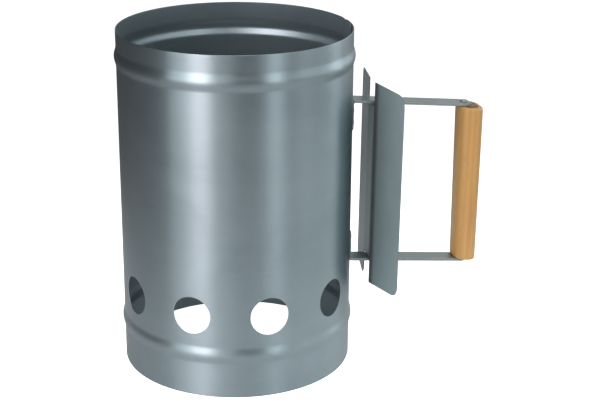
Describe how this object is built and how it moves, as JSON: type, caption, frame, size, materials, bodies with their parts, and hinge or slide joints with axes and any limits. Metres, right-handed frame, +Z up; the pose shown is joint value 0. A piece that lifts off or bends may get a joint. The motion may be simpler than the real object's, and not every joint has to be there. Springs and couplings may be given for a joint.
{
  "type": "chimney charcoal starter",
  "caption": "Cylindrical steel chimney for lighting charcoal, with vents round the base, a loose grate, a heat shield and a wooden grip on two straps.",
  "frame": {"origin": "middle of the whole object's footprint, on the surface it stands on; the tube's axis stands 57 mm off it towards -X", "axes": "+Z up along the tube, +X from the tube towards the grip"},
  "size_m": [0.3072, 0.1932, 0.2805],
  "materials": {
    "sheet_steel": "satin rolled sheet",
    "wire_steel": "drawn wire",
    "rivet_steel": "plain",
    "grip_wood": "oiled, smooth"
  },
  "bodies": {
    "starter": {"body_tube": "sheet_steel", "upper_strap": "sheet_steel", "lower_strap": "sheet_steel", "heat_shield": "sheet_steel", "grip": "grip_wood", "upper_foot_rivet_1": "rivet_steel", "upper_foot_rivet_2": "rivet_steel", "lower_foot_rivet_1": "rivet_steel", "lower_foot_rivet_2": "rivet_steel", "upper_shield_rivet": "rivet_steel", "lower_shield_rivet": "rivet_steel", "upper_grip_screw": "rivet_steel", "lower_grip_screw": "rivet_steel", "grate_bracket_1": "sheet_steel", "grate_bracket_2": "sheet_steel", "grate_bracket_3": "sheet_steel", "grate_bracket_4": "sheet_steel"},
    "grate": {"grate_ring": "wire_steel", "grate_cross_bar": "wire_steel", "grate_bar_1": "wire_steel", "grate_bar_2": "wire_steel", "grate_bar_3": "wire_steel", "grate_bar_4": "wire_steel", "grate_bar_5": "wire_steel", "grate_bar_6": "wire_steel", "grate_bar_7": "wire_steel"}
  },
  "joints": [
    {"name": "grate_lift", "type": "slide", "parent": "starter", "child": "grate", "axis": [0, 0, 1], "range_m": [0, 0.205]}
  ]
}
